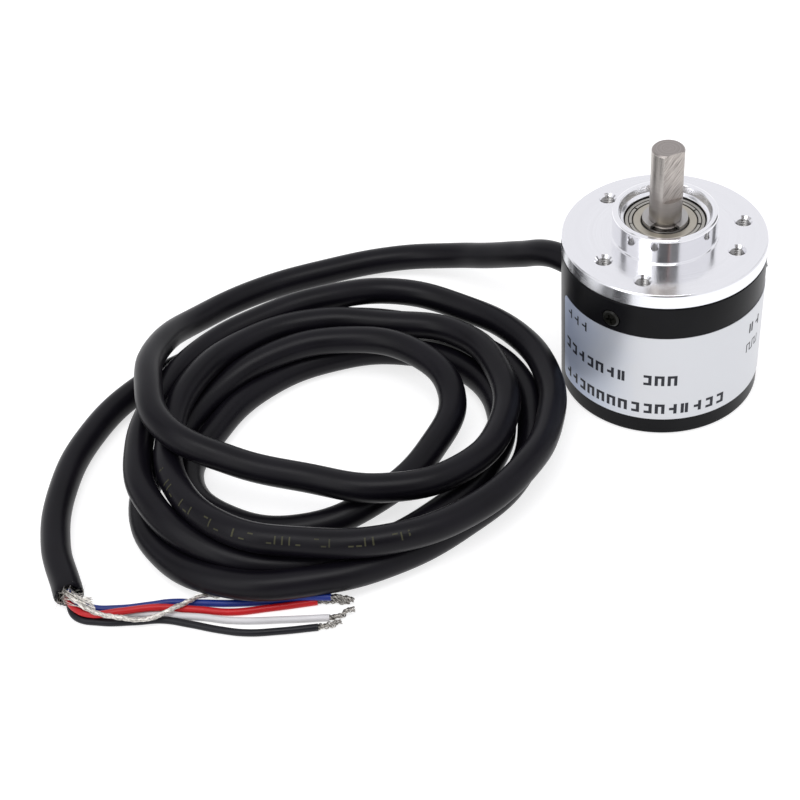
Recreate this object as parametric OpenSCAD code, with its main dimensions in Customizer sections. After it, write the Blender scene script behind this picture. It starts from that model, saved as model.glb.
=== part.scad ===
// Rotary encoder: a black cup-shaped case with a printed foil label, a polished
// aluminium flange with a centring boss, a D-cut shaft on two miniature ball bearings,
// the disc, reader and board inside, and a long loose cable with a stripped end.
// +Z runs up the shaft. The origin is the centre of the case's underside.

/* [Case] */
// Outer diameter of the case and the flange
case_d = 38; // [37:0.5:40]
// Height of the case, up to the flange
case_h = 30.5; // [30:0.5:32]
// Thickness of the case's wall
case_wall = 1.5; // [1.2:0.1:1.6]
// Thickness of the case's bottom
case_floor = 1.5; // [1:0.5:2]

/* [Flange] */
// Thickness of the flange that shows above the case
flange_h = 3; // [2.5:0.5:3.5]
// Diameter of the centring boss
boss_d = 19.4; // [19:0.1:20]
// Height of the centring boss above the flange
boss_h = 5.1; // [5:0.1:6]
// Diameter of the outer circle of fixing holes
outer_pcd = 30; // [29.5:0.5:30.5]
// Diameter of the inner circle of fixing holes
inner_pcd = 28; // [27.5:0.5:28.5]
// Diameter of the tapped fixing holes
hole_d = 2.5; // [2:0.5:2.5]

/* [Shaft and bearings] */
// Diameter of the shaft and of the bearings' bores
shaft_d = 6; // [5.9:0.05:6]
// Length of shaft beyond the boss
shaft_out = 13.4; // [12:0.1:15]
// Length of the flat on the shaft's end
flat_len = 10; // [8:0.5:11]
// Depth of the flat
flat_depth = 0.75; // [0.5:0.25:1]
// Outer diameter of the two ball bearings
bearing_d = 15; // [15:0.5:15.5]
// Width of each ball bearing
bearing_w = 5; // [4.8:0.1:5]
// Number of balls in each bearing
ball_count = 7; // [6:1:7]

/* [Code disc] */
// Diameter of the code disc
disc_d = 24; // [22:0.5:25]
// Number of slots in the code disc
slot_count = 24; // [12:12:36]

/* [Cable] */
// Diameter of the cable's jacket
cable_d = 5.4; // [5:0.1:5.5]
// Diameter of each core
core_d = 1.3; // [1.1:0.1:1.3]
// Diameter of the shield's twisted drain
drain_d = 1; // [0.8:0.1:1]
// Height of the cable outlet above the case's underside
cable_z = 17.2; // [17:0.1:18]

/* [Hidden] */
$fn = 96;

// Case and flange
case_r = case_d / 2;
inner_r = case_r - case_wall;
edge_bevel = 0.5;
top_bevel = 0.2;
flange_top = case_h + flange_h;
boss_top = flange_top + boss_h;
boss_r = boss_d / 2;
boss_foot_r = boss_r + 0.3;
shaft_r = shaft_d / 2;
shaft_tip = boss_top + shaft_out;
shaft_foot = 9;
flat_az = -71;
// Grooves for the two retaining rings, and the plain stretch between groove and flat
ring_groove_r = shaft_r - 0.2;
relief_r = shaft_r - 0.01;

// Bearings, measured up from each one's lower face
bearing_r = bearing_d / 2;
mouth_r = bearing_r + 1.1;
front_z = boss_top - 2.1 - bearing_w;
rear_z = front_z - 7.3;
plug_bottom = rear_z - 0.8;
plug_r = inner_r - 0.05;
shoulder_r = 6.3;
pitch_r = 5.25;
ball_r = 1.15;
groove_r = 1.2;
inner_land_r = 4.3;
outer_land_r = 6.1;
shield_seat_r = 6.4;
shield_seat_h = 0.5;
ring_bevel = 0.3;

// Fixing holes and the screws round the rim
hole_depth = 6.5;
outer_hole_az = [5, 125, -115];
inner_hole_az = [-31.5, 88.5, -151.5];
rim_screw_az = [-129.7, -9.7, 110.3];
rim_screw_z = case_h - 4.3;
rim_head_r = 1.7;
rim_head_h = 0.9;
rim_head_out = 0.3;
rim_shank_r = 0.95;
rim_shank_end = 14;

// Label
label_t = 0.1;
label_z = [4, 23.7];
label_az = [-171, 98];

// Disc and reader
hub_r = 5;
hub_z = [13, 18];
hub_flange_r = 8;
disc_z = 20;
disc_t = 0.6;
slot_r = [9, 11];
reader_az = -44;
board_z = 10;
board_t = 1.6;
board_r = 16.5;
standoff_az = [50, 170, -70];
standoff_r = 1.75;
standoff_at = 14.8;

// Cable outlet, along a line that points out of the case at cable_az
cable_az = 136;
cable_r = cable_d / 2;
grommet_r = 3.8;
grommet_hole_r = 2.9;
collar_r = 3.2;
grommet_face = 20.5;
grommet_back = 15.5;
entry_back = 13.2;

// Route of the cable's centre line, from the grommet to the cut end
LEAD = [
    [grommet_face * cos(cable_az), grommet_face * sin(cable_az), cable_z],
    [-19, 18.5, 16.8], [-24.5, 24, 13.2], [-30.5, 30, 9], [-37, 35.5, 5.6], [-50, 39.5, 3.2],
    [-65, 37.5, 2.8], [-79, 33, 2.9], [-91, 24, 4.3], [-98, 10, 9.5], [-99, -5.5, 13.3]
];
TURN_1 = [
    [-95, -19.5, 13.8], [-83, -27, 11.2], [-70, -31.5, 9.7], [-56, -35.5, 9.2], [-42, -32, 8.6],
    [-33, -20.5, 8.1], [-32, -5.5, 8.1], [-39, 7.5, 7.6], [-53, 12.5, 7.6], [-67, 14.5, 8.1],
    [-81, 9.5, 8.6], [-91, -1.5, 9.2]
];
TURN_2 = [
    [-95, -15.5, 8.7], [-93.5, -29.5, 9], [-84, -42, 9.2], [-70.5, -46.5, 8.7], [-55, -48, 9.2],
    [-41, -42.5, 8.6], [-30, -32.5, 8.6], [-24, -19.5, 7], [-22.5, -6, 5.9], [-27, 8, 5.4],
    [-37, 18, 5.4], [-50, 24, 6.4], [-64, 22, 8.1], [-78, 17, 8.1], [-90, 9, 7.6]
];
TURN_3 = [
    [-98, -4, 7.6], [-101, -18.5, 8.1], [-98.5, -32, 8], [-88, -43, 5.4], [-75, -46.5, 3.1],
    [-60, -44, 2.7], [-47, -37, 2.7], [-36.5, -26, 2.7], [-32.5, -12, 2.7], [-38, 2, 2.7],
    [-50, 9, 2.7], [-64, 9, 2.7], [-78, 2.5, 2.7]
];
TURN_4 = [
    [-87.5, -9.5, 2.7], [-92, -23, 2.7], [-84, -34, 2.7], [-71, -37.5, 2.8], [-57, -32.5, 3.8],
    [-46.5, -22, 4.9], [-41.5, -9, 6.5], [-48, 2.5, 8.1], [-62, 8, 8.1], [-76, 6, 7.3],
    [-87.5, -1, 4.9]
];
TURN_5 = [
    [-95.5, -13, 3.2], [-100.5, -27, 2.8], [-96, -41, 2.8], [-84, -50, 3.7], [-69, -51.5, 4.1],
    [-55, -48, 3.7], [-42.5, -40.5, 3.2], [-31.5, -30, 3.2], [-27, -16, 2.7], [-28, -2, 2.7],
    [-36.5, 10, 2.7], [-49, 17.5, 2.7]
];
TAIL = [
    [-64, 21, 2.7], [-78, 21, 2.7], [-91, 13, 2.7], [-103.5, 4.5, 2.7], [-112, -8, 2.7],
    [-116, -22, 2.7], [-116, -36, 2.7], [-112.5, -48.5, 2.7]
];
CABLE = concat(LEAD, TURN_1, TURN_2, TURN_3, TURN_4, TURN_5, TAIL);
TURN_ENDS = [
    for (k = 0, n = len(LEAD), part = [TURN_1, TURN_2, TURN_3, TURN_4, TURN_5];
         k <= 5; n = n + (k < 5 ? len(part[k]) : 0), k = k + 1) n
];

// Routes of the bare cores and the drain, from the cable's cut end to their own ends
BLUE = [
    [-112.5, -48, 3.4], [-111, -49.8, 2.9], [-108, -50.9, 2.3], [-104, -50.9, 1.6],
    [-98, -50, 0.7], [-91, -49.8, 0.7], [-84, -51.9, 0.7], [-78, -52.7, 0.7],
    [-72, -53, 0.7], [-67, -52.7, 0.7]
];
RED = [
    [-113, -48.2, 2.2], [-111.5, -50.6, 1.9], [-108, -52.3, 1.9], [-104, -52.7, 1.9],
    [-100, -52, 1.9], [-96, -51.8, 1], [-91, -52.5, 0.8], [-84, -54.3, 0.7],
    [-76, -54.7, 0.7], [-69, -54.3, 0.7]
];
WHITE = [
    [-112, -48.3, 1.6], [-110.3, -50, 1], [-107, -51.2, 0.7], [-102, -52, 0.7],
    [-97, -53, 0.7], [-91, -54.1, 0.7], [-84, -55.9, 0.7], [-75, -56.6, 0.7],
    [-67, -57, 0.7]
];
BLACK = [
    [-113, -48.3, 1], [-111.3, -52, 0.8], [-107, -53.6, 0.7], [-101, -54.3, 0.7],
    [-95, -54.8, 0.7], [-89, -56.6, 0.7], [-82, -58.7, 0.7], [-75, -59.4, 0.7],
    [-69, -59.2, 0.7]
];
DRAIN = [
    [-113, -48, 3.6], [-111, -51.2, 3.5], [-107.5, -54, 3.1], [-103.5, -55.2, 2.6],
    [-99, -56, 2.3], [-95.5, -55.3, 2.6], [-92, -53.3, 2.2], [-88, -51.6, 1.8]
];
TIPS = [
    [[-67, -52.7, 0.7], [-63, -53.3, 0.6]],
    [[-69, -54.3, 0.7], [-66, -54.7, 0.6]],
    [[-67, -57, 0.7], [-63, -57.2, 0.6]],
    [[-69, -59.2, 0.7], [-65, -58.9, 0.6]]
];

function unit(v) = v / norm(v);
function heading(p, i) = unit(p[min(i + 1, len(p) - 1)] - p[max(i - 1, 0)]);
function ring_at(c, t, r, n) =
    let (side = unit(cross(t, [0, 0, 1])), up = cross(side, t))
    [for (k = [0:n - 1]) c + r * (cos(360 * k / n) * side + sin(360 * k / n) * up)];

// A closed tube along the route's points from first to last
module tube(route, first, last, d, n) {
    rings = last - first + 1;
    points = [for (i = [first:last]) each ring_at(route[i], heading(route, i), d / 2, n)];
    sides = [
        for (i = [0:rings - 2], k = [0:n - 1])
            let (a = i * n + k, b = i * n + (k + 1) % n)
            each [[a, b, b + n], [a, b + n, a + n]]
    ];
    near_cap = [[for (k = [n - 1:-1:0]) k]];
    far_cap = [[for (k = [0:n - 1]) (rings - 1) * n + k]];
    polyhedron(points, concat(near_cap, sides, far_cap));
}

// Turns the children so that their Z axis points out of the case at az and height z
module radial(az, z) {
    rotate([0, 0, az])
        translate([0, 0, z])
            rotate([0, 90, 0])
                children();
}

module round_ring(inside, outside, bottom, top) {
    translate([0, 0, bottom])
        difference() {
            cylinder(r = outside, h = top - bottom);
            translate([0, 0, -1])
                cylinder(r = inside, h = top - bottom + 2);
        }
}

module housing_cup() {
    color([0.06, 0.06, 0.07])
        difference() {
            rotate_extrude()
                polygon([
                    [0, 0], [case_r - edge_bevel, 0], [case_r, edge_bevel],
                    [case_r, case_h - top_bevel], [case_r - top_bevel, case_h],
                    [inner_r, case_h], [inner_r, case_floor], [0, case_floor]
                ]);
            for (az = rim_screw_az)
                radial(az, rim_screw_z) {
                    cylinder(r = 1.1, h = case_r + 1);
                    translate([0, 0, case_r + rim_head_out - rim_head_h])
                        cylinder(r = 1.9, h = 3);
                }
            radial(cable_az, cable_z)
                cylinder(r = grommet_hole_r, h = case_r + 1);
        }
}

module rating_label() {
    color([0.80, 0.81, 0.83])
        rotate([0, 0, label_az[0]])
            rotate_extrude(angle = label_az[1] - label_az[0])
                translate([case_r, label_z[0]])
                    square([label_t, label_z[1] - label_z[0]]);
}

module cross_recess(reach, depth) {
    for (turn = [0, 90])
        rotate([0, 0, turn])
            translate([-reach, -0.22, -depth])
                cube([2 * reach, 0.44, depth + 1]);
}

module case_screws() {
    head_top = case_r + rim_head_out;
    color([0.07, 0.07, 0.08])
        for (az = rim_screw_az)
            radial(az, 0)
                translate([-rim_screw_z, 0, 0])
                    difference() {
                        rotate_extrude()
                            polygon([
                                [0, rim_shank_end], [rim_shank_r, rim_shank_end],
                                [rim_shank_r, head_top - rim_head_h], [rim_head_r, head_top - rim_head_h],
                                [rim_head_r, head_top - 0.35], [rim_head_r - 0.35, head_top],
                                [0, head_top]
                            ]);
                        translate([0, 0, head_top])
                            cross_recess(0.95, 0.55);
                    }
}

module fixing_hole(az, pcd) {
    rotate([0, 0, az])
        translate([pcd / 2, 0, flange_top - hole_depth]) {
            cylinder(d = hole_d, h = hole_depth + 1);
            translate([0, 0, hole_depth - 0.45])
                cylinder(r1 = hole_d / 2, r2 = hole_d / 2 + 0.5, h = 0.5);
        }
}

module flange_body() {
    color([0.83, 0.83, 0.86])
        difference() {
            rotate_extrude()
                polygon([
                    [shoulder_r, plug_bottom], [plug_r, plug_bottom], [plug_r, case_h],
                    [case_r - 0.2, case_h], [case_r, case_h + 0.2], [case_r, flange_top - 0.25],
                    [case_r - 0.25, flange_top], [boss_foot_r, flange_top],
                    [boss_foot_r, flange_top + 0.15], [boss_r, flange_top + 0.15],
                    [boss_r, boss_top - 0.35], [boss_r - 0.35, boss_top], [mouth_r, boss_top],
                    [mouth_r - 0.5, boss_top - 1.5], [bearing_r + 0.1, boss_top - 1.7],
                    [bearing_r + 0.1, front_z + bearing_w],
                    [bearing_r, front_z + bearing_w], [bearing_r, front_z], [shoulder_r, front_z]
                ]);
            translate([0, 0, plug_bottom - 1])
                cylinder(r = bearing_r, h = rear_z + bearing_w - plug_bottom + 1);
            for (az = outer_hole_az)
                fixing_hole(az, outer_pcd);
            for (az = inner_hole_az)
                fixing_hole(az, inner_pcd);
            for (az = rim_screw_az)
                radial(az, rim_screw_z)
                    translate([0, 0, rim_shank_end - 0.5])
                        cylinder(r = 1, h = 5);
            for (az = standoff_az)
                rotate([0, 0, az])
                    translate([standoff_at, 0, plug_bottom - 1])
                        cylinder(r = 0.8, h = 3);
        }
}

module shaft() {
    color([0.62, 0.60, 0.58])
        rotate([0, 0, flat_az])
            difference() {
                rotate_extrude()
                    polygon([
                        [0, shaft_foot], [shaft_r - 0.3, shaft_foot], [shaft_r, shaft_foot + 0.3],
                        [shaft_r, rear_z - 1.2], [ring_groove_r, rear_z - 1.2],
                        [ring_groove_r, rear_z - 0.5], [shaft_r, rear_z - 0.5],
                        [shaft_r, front_z + bearing_w], [ring_groove_r, front_z + bearing_w],
                        [ring_groove_r, front_z + bearing_w + 0.7], [relief_r, front_z + bearing_w + 0.7],
                        [relief_r, shaft_tip - flat_len], [shaft_r, shaft_tip - flat_len],
                        [shaft_r, shaft_tip - 0.35], [shaft_r - 0.35, shaft_tip], [0, shaft_tip]
                    ]);
                translate([shaft_r - flat_depth, -5, shaft_tip - flat_len])
                    cube([5, 10, flat_len + 1]);
            }
}

module outer_ring(z) {
    mid = bearing_w / 2;
    color([0.66, 0.66, 0.67])
        translate([0, 0, z])
            difference() {
                rotate_extrude()
                    polygon([
                        [outer_land_r, shield_seat_h], [shield_seat_r, shield_seat_h], [shield_seat_r, 0],
                        [bearing_r - ring_bevel, 0], [bearing_r, ring_bevel],
                        [bearing_r, bearing_w - ring_bevel], [bearing_r - ring_bevel, bearing_w],
                        [shield_seat_r, bearing_w], [shield_seat_r, bearing_w - shield_seat_h],
                        [outer_land_r, bearing_w - shield_seat_h]
                    ]);
                rotate_extrude()
                    translate([pitch_r, mid])
                        circle(r = groove_r);
            }
}

module inner_ring(z) {
    color([0.45, 0.45, 0.47])
        translate([0, 0, z])
            difference() {
                rotate_extrude()
                    polygon([
                        [shaft_r, 0], [inner_land_r - 0.2, 0], [inner_land_r, 0.2],
                        [inner_land_r, bearing_w - 0.2], [inner_land_r - 0.2, bearing_w],
                        [shaft_r, bearing_w]
                    ]);
                rotate_extrude()
                    translate([pitch_r, bearing_w / 2])
                        circle(r = groove_r);
            }
}

module ball_places(z) {
    for (k = [0:ball_count - 1])
        rotate([0, 0, 360 * k / ball_count])
            translate([pitch_r, 0, z + bearing_w / 2])
                children();
}

module ball_set(z) {
    color([0.75, 0.75, 0.76])
        ball_places(z)
            sphere(r = ball_r, $fn = 32);
}

module cage(z) {
    color([0.70, 0.66, 0.58])
        difference() {
            round_ring(4.7, 5.8, z + bearing_w / 2 - 0.4, z + bearing_w / 2 + 1.7);
            ball_places(z)
                sphere(r = groove_r, $fn = 32);
        }
}

module shield_profile(z) {
    translate([0, 0, z])
        rotate_extrude()
            polygon([
                [4.5, 0], [shield_seat_r - 0.02, 0], [shield_seat_r - 0.02, 0.45],
                [5.7, 0.45], [5.7, 0.3], [4.5, 0.3]
            ]);
}

module shields(z) {
    color([0.60, 0.56, 0.50]) {
        shield_profile(z + bearing_w - shield_seat_h);
        translate([0, 0, z + shield_seat_h])
            mirror([0, 0, 1])
                shield_profile(0);
    }
}

module bearing_spacer() {
    color([0.70, 0.70, 0.72])
        round_ring(shaft_r, 4, rear_z + bearing_w, front_z);
}

// An open retaining ring whose gap is centred at gap_az
module retaining_ring(z, outside, gap_az, gap) {
    color([0.72, 0.72, 0.73])
        rotate([0, 0, gap_az + gap / 2])
            rotate_extrude(angle = 360 - gap)
                translate([ring_groove_r, z])
                    square([outside - ring_groove_r, 0.7]);
}

module front_retaining_ring() {
    retaining_ring(front_z + bearing_w, 4.2, -101, 78);
}

module rear_retaining_ring() {
    retaining_ring(rear_z - 1.2, 4.2, 79, 60);
}

module wave_washer() {
    color([0.72, 0.71, 0.68])
        round_ring(shaft_r + 0.05, 4.2, rear_z - 0.5, rear_z);
}

module disc_hub() {
    color([0.76, 0.77, 0.78])
        difference() {
            union() {
                round_ring(shaft_r, hub_r, hub_z[0], hub_z[1]);
                round_ring(shaft_r, hub_flange_r, hub_z[1], disc_z);
            }
            radial(0, hub_z[0] + 2.5)
                cylinder(r = 1, h = 10);
        }
}

module grub_screw() {
    color([0.15, 0.15, 0.16])
        radial(0, hub_z[0] + 2.5)
            translate([0, 0, shaft_r])
                difference() {
                    cylinder(r = 0.95, h = hub_r - shaft_r);
                    translate([0, 0, 0.9])
                        cylinder(r = 0.5, h = 2, $fn = 6);
                }
}

module code_disc() {
    color([0.72, 0.74, 0.76])
        difference() {
            round_ring(shaft_r + 0.2, disc_d / 2, disc_z, disc_z + disc_t);
            for (k = [0:slot_count - 1])
                rotate([0, 0, 360 * k / slot_count])
                    translate([slot_r[0], -0.4, disc_z - 1])
                        cube([slot_r[1] - slot_r[0], 0.8, disc_t + 2]);
        }
}

module disc_clamp() {
    color([0.78, 0.78, 0.80])
        round_ring(shaft_r + 0.05, 7, disc_z + disc_t, disc_z + disc_t + 1.2);
}

module led_holder() {
    color([0.10, 0.10, 0.11])
        rotate([0, 0, reader_az])
            difference() {
                translate([8.3, -3, disc_z + 1.2])
                    cube([4.2, 6, plug_bottom - disc_z - 1.2]);
                translate([10, 0, disc_z])
                    cylinder(r = 1.25, h = 3);
            }
}

module led_emitter() {
    color([0.85, 0.88, 0.95])
        rotate([0, 0, reader_az])
            translate([10, 0, disc_z + 1.4])
                union() {
                    cylinder(r = 1.2, h = 1.5, $fn = 48);
                    intersection() {
                        sphere(r = 0.7, $fn = 48);
                        translate([-1, -1, -1])
                            cube([2, 2, 1]);
                    }
                }
}

module reticle() {
    color([0.80, 0.88, 0.90])
        rotate([0, 0, reader_az])
            translate([8.6, -3, disc_z - 0.8])
                cube([3.8, 6, 0.4]);
}

module sensor_block() {
    color([0.12, 0.12, 0.13])
        rotate([0, 0, reader_az])
            difference() {
                translate([8.4, -3.2, board_z + board_t])
                    cube([4.4, 6.4, disc_z - 0.8 - board_z - board_t]);
                translate([9, -2.2, disc_z - 1.6])
                    cube([3, 4.4, 2]);
            }
}

module photosensor() {
    color([0.20, 0.22, 0.30])
        rotate([0, 0, reader_az])
            translate([9.1, -2.1, disc_z - 1.6])
                cube([2.8, 4.2, 0.6]);
}

module circuit_board() {
    color([0.05, 0.30, 0.15])
        difference() {
            round_ring(6, board_r, board_z, board_z + board_t);
            for (az = standoff_az)
                rotate([0, 0, az])
                    translate([standoff_at, 0, board_z - 1])
                        cylinder(r = 1.05, h = board_t + 2);
        }
}

module board_standoffs() {
    color([0.75, 0.65, 0.40])
        for (az = standoff_az)
            rotate([0, 0, az])
                translate([standoff_at, 0, 0])
                    difference() {
                        union() {
                            round_ring(0.95, standoff_r, board_z + board_t, board_z + board_t + 5);
                            translate([0, 0, board_z + board_t + 4])
                                cylinder(r = standoff_r, h = plug_bottom - board_z - board_t - 4);
                            translate([0, 0, plug_bottom])
                                cylinder(r = 0.75, h = 1.8);
                        }
                        translate([0, 0, board_z])
                            cylinder(r = 0.95, h = board_t + 5);
                    }
}

module board_screws() {
    color([0.70, 0.70, 0.72])
        for (az = standoff_az)
            rotate([0, 0, az])
                translate([standoff_at, 0, 0])
                    difference() {
                        union() {
                            translate([0, 0, board_z - 1.2])
                                cylinder(r = 1.8, h = 1.2);
                            translate([0, 0, board_z - 0.5])
                                cylinder(r = 0.9, h = board_t + 4);
                        }
                        translate([0, 0, board_z - 1.2])
                            mirror([0, 0, 1])
                                cross_recess(1, 0.6);
                    }
}

module chip(az, at, size) {
    rotate([0, 0, az])
        translate([at, -size[1] / 2, board_z + board_t])
            cube(size);
}

module board_parts() {
    color([0.09, 0.09, 0.10]) {
        chip(95, 8, [5, 4, 1.2]);
        chip(-150, 8, [5, 5, 1.2]);
        chip(10, 8.5, [2, 1.2, 0.8]);
        chip(20, 11, [2, 1.2, 0.8]);
        chip(-100, 9, [2, 1.2, 0.8]);
        chip(-112, 9, [2, 1.2, 0.8]);
        chip(70, 9, [2, 1.2, 0.8]);
    }
}

module solder_header() {
    color([0.85, 0.82, 0.75])
        rotate([0, 0, cable_az])
            translate([11, -4, board_z + board_t])
                cube([3, 8, 1.6]);
}

module cable_grommet() {
    color([0.06, 0.06, 0.06])
        difference() {
            radial(cable_az, cable_z)
                rotate_extrude()
                    polygon([
                        [cable_r, grommet_back], [grommet_r - 0.4, grommet_back],
                        [grommet_r, grommet_back + 0.4], [grommet_r, inner_r],
                        [collar_r, case_r - 0.6], [collar_r, grommet_face - 0.3],
                        [collar_r - 0.3, grommet_face], [cable_r, grommet_face]
                    ]);
            difference() {
                round_ring(inner_r, case_r, cable_z - 9, cable_z + 9);
                radial(cable_az, cable_z)
                    cylinder(r = grommet_hole_r, h = case_r + 5);
            }
        }
}

module cable_tie() {
    color([0.88, 0.88, 0.86])
        radial(cable_az, cable_z)
            round_ring(cable_r, cable_r + 0.9, entry_back + 0.4, entry_back + 1.9);
}

module cable_entry() {
    color([0.06, 0.06, 0.07])
        radial(cable_az, cable_z)
            translate([0, 0, entry_back])
                cylinder(r = cable_r, h = grommet_face - entry_back);
}

// One core inside the case: out of the cable's end, then down to the header
module inner_core(side, rise) {
    rotate([0, 0, cable_az]) {
        translate([entry_back - 0.7, side, cable_z + rise])
            rotate([0, 90, 0])
                cylinder(r = 0.4, h = 0.7, $fn = 24);
        translate([entry_back - 0.7, side, cable_z + rise])
            sphere(r = 0.4, $fn = 24);
        translate([entry_back - 0.7, side, board_z + board_t + 1.6])
            cylinder(r = 0.4, h = cable_z + rise - board_z - board_t - 1.6, $fn = 24);
    }
}

module inner_cores() {
    color([0.75, 0.10, 0.10]) inner_core(-1.5, 0);
    color([0.90, 0.90, 0.90]) inner_core(-0.5, -0.6);
    color([0.10, 0.20, 0.60]) inner_core(0.5, 0);
    color([0.06, 0.06, 0.07]) inner_core(1.5, -0.6);
}

module cable_stretch(first, last) {
    color([0.07, 0.07, 0.08])
        tube(CABLE, first, last, cable_d, 10);
}

module core(route, colour) {
    color(colour)
        tube(route, 0, len(route) - 1, core_d, 8);
}

module shield_drain() {
    color([0.72, 0.71, 0.68])
        tube(DRAIN, 0, len(DRAIN) - 1, drain_d, 8);
}

module wire_tips() {
    color([0.70, 0.69, 0.66])
        for (tip = TIPS)
            tube(tip, 0, 1, 0.9, 8);
}

housing_cup();
rating_label();
case_screws();
flange_body();
shaft();
outer_ring(front_z);  // front_outer_ring
inner_ring(front_z);  // front_inner_ring
ball_set(front_z);  // front_balls
cage(front_z);  // front_cage
shields(front_z);  // front_shields
outer_ring(rear_z);  // rear_outer_ring
inner_ring(rear_z);  // rear_inner_ring
ball_set(rear_z);  // rear_balls
cage(rear_z);  // rear_cage
shields(rear_z);  // rear_shields
bearing_spacer();
front_retaining_ring();
wave_washer();
rear_retaining_ring();
disc_hub();
grub_screw();
code_disc();
disc_clamp();
led_holder();
led_emitter();
reticle();
sensor_block();
photosensor();
circuit_board();
board_standoffs();
board_screws();
board_parts();
solder_header();
cable_grommet();
cable_tie();
cable_entry();
inner_cores();
cable_stretch(0, TURN_ENDS[0]);  // cable_lead
cable_stretch(TURN_ENDS[0], TURN_ENDS[1]);  // cable_turn_1
cable_stretch(TURN_ENDS[1], TURN_ENDS[2]);  // cable_turn_2
cable_stretch(TURN_ENDS[2], TURN_ENDS[3]);  // cable_turn_3
cable_stretch(TURN_ENDS[3], TURN_ENDS[4]);  // cable_turn_4
cable_stretch(TURN_ENDS[4], TURN_ENDS[5]);  // cable_turn_5
cable_stretch(TURN_ENDS[5], len(CABLE) - 1);  // cable_tail
core(RED, [0.75, 0.05, 0.06]);  // wire_red
core(BLACK, [0.05, 0.05, 0.06]);  // wire_black
core(WHITE, [0.90, 0.88, 0.90]);  // wire_white
core(BLUE, [0.06, 0.14, 0.50]);  // wire_blue
shield_drain();
wire_tips();
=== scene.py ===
import math
import random

import bmesh
import bpy
from mathutils import Matrix, Vector


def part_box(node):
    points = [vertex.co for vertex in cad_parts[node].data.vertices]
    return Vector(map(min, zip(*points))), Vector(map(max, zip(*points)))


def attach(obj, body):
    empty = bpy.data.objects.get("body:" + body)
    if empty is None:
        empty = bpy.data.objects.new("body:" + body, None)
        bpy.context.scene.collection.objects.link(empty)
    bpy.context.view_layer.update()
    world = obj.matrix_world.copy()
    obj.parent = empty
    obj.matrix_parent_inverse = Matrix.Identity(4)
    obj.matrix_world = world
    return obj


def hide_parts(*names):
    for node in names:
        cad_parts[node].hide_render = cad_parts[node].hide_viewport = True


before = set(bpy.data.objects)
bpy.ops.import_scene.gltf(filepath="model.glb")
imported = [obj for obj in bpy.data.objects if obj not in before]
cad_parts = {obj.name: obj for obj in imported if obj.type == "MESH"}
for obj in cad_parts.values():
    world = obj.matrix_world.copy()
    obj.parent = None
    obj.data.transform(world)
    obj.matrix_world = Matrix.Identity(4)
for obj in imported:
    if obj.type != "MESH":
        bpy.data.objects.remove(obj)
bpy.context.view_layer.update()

MM = 0.001
SHAPE = bpy.context.scene.collection

# ---------------------------------------------------------------- sizes, in millimetres

CASE_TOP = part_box("housing_cup")[1][2] / MM
CASE_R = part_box("housing_cup")[1][0] / MM
CASE_WALL = 1.5
FLANGE_TOP = CASE_TOP + 3.0
BOSS_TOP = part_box("flange_body")[1][2] / MM
BOSS_R = 9.7
SHAFT_R = 3.0
SHAFT_FLAT_AZ = -71
SHAFT_FLAT_LENGTH = 10
SHAFT_FLAT_REACH = 2.25
SHAFT_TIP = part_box("shaft")[1][2] / MM
SHAFT_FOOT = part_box("shaft")[0][2] / MM
BEARING_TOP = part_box("front_outer_ring")[1][2] / MM
BEARING_W = 5.0
BEARING_R = 7.5
PLUG_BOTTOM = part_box("flange_body")[0][2] / MM
CABLE_R = 2.7
CORE_R = 0.65
RIM_SCREW_AZ = (-129.7, -9.7, 110.3)
RIM_SCREW_Z = CASE_TOP - 4.3
# Tapped holes in the flange: azimuth and distance from the axis
HOLES = [(az, 15.0) for az in (5, 125, -115)] + [(az, 14.0) for az in (-31.5, 88.5, -151.5)]
CABLE_AZ = 136
CABLE_Z = 17.2
GROMMET_FACE = 20.5

# Route of the cable's centre line, as in the CAD source
LEAD = [
    (
        GROMMET_FACE * math.cos(math.radians(CABLE_AZ)),
        GROMMET_FACE * math.sin(math.radians(CABLE_AZ)),
        CABLE_Z,
    ),
    (-19, 18.5, 16.8), (-24.5, 24, 13.2), (-30.5, 30, 9), (-37, 35.5, 5.6), (-50, 39.5, 3.2),
    (-65, 37.5, 2.8), (-79, 33, 2.9), (-91, 24, 4.3), (-98, 10, 9.5), (-99, -5.5, 13.3),
]
TURN_1 = [
    (-95, -19.5, 13.8), (-83, -27, 11.2), (-70, -31.5, 9.7), (-56, -35.5, 9.2), (-42, -32, 8.6),
    (-33, -20.5, 8.1), (-32, -5.5, 8.1), (-39, 7.5, 7.6), (-53, 12.5, 7.6), (-67, 14.5, 8.1),
    (-81, 9.5, 8.6), (-91, -1.5, 9.2),
]
TURN_2 = [
    (-95, -15.5, 8.7), (-93.5, -29.5, 9), (-84, -42, 9.2), (-70.5, -46.5, 8.7), (-55, -48, 9.2),
    (-41, -42.5, 8.6), (-30, -32.5, 8.6), (-24, -19.5, 7), (-22.5, -6, 5.9), (-27, 8, 5.4),
    (-37, 18, 5.4), (-50, 24, 6.4), (-64, 22, 8.1), (-78, 17, 8.1), (-90, 9, 7.6),
]
TURN_3 = [
    (-98, -4, 7.6), (-101, -18.5, 8.1), (-98.5, -32, 8), (-88, -43, 5.4), (-75, -46.5, 3.1),
    (-60, -44, 2.7), (-47, -37, 2.7), (-36.5, -26, 2.7), (-32.5, -12, 2.7), (-38, 2, 2.7),
    (-50, 9, 2.7), (-64, 9, 2.7), (-78, 2.5, 2.7),
]
TURN_4 = [
    (-87.5, -9.5, 2.7), (-92, -23, 2.7), (-84, -34, 2.7), (-71, -37.5, 2.8), (-57, -32.5, 3.8),
    (-46.5, -22, 4.9), (-41.5, -9, 6.5), (-48, 2.5, 8.1), (-62, 8, 8.1), (-76, 6, 7.3),
    (-87.5, -1, 4.9),
]
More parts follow.
